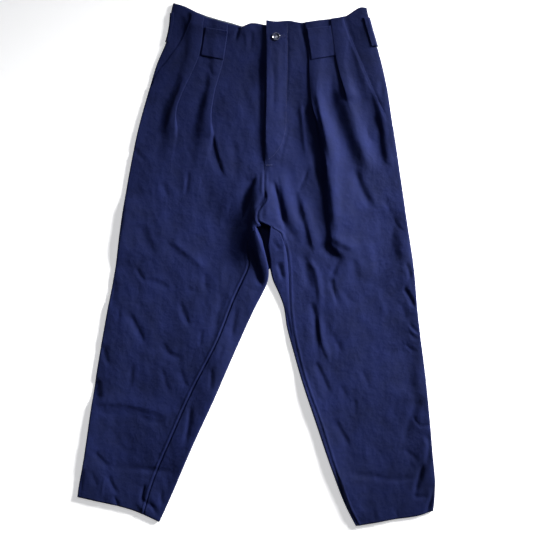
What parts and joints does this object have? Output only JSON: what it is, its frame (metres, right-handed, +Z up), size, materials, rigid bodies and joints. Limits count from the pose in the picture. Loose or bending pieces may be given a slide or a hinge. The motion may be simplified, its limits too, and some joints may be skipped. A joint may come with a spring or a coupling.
{
  "type": "balloon trousers laid out flat",
  "caption": "Pleated balloon trousers laid flat, front upwards, with slanted pockets, wide belt loops and a button at the fly.",
  "frame": {"origin": "on the surface that the trousers lie on, under the middle of their outline", "axes": "+Y towards the waist, +Z up out of the surface, +X towards the wearer's left leg"},
  "size_m": [0.6802, 0.9939, 0.019],
  "materials": {
    "navy_suiting": "matt, finely woven navy suiting",
    "waist_lining": "grey lining, matt",
    "button_resin": "polished dark resin"
  },
  "bodies": {
    "root": {"back_left": "navy_suiting", "back_right": "navy_suiting", "front_left": "navy_suiting", "front_right": "navy_suiting", "pocket_facing_left": "navy_suiting", "pocket_facing_right": "navy_suiting", "belt_loop_front_left": "navy_suiting", "belt_loop_front_right": "navy_suiting", "belt_loop_side_left": "navy_suiting", "belt_loop_side_right": "navy_suiting", "waist_facing_back": "waist_lining", "button": "button_resin"}
  },
  "joints": []
}
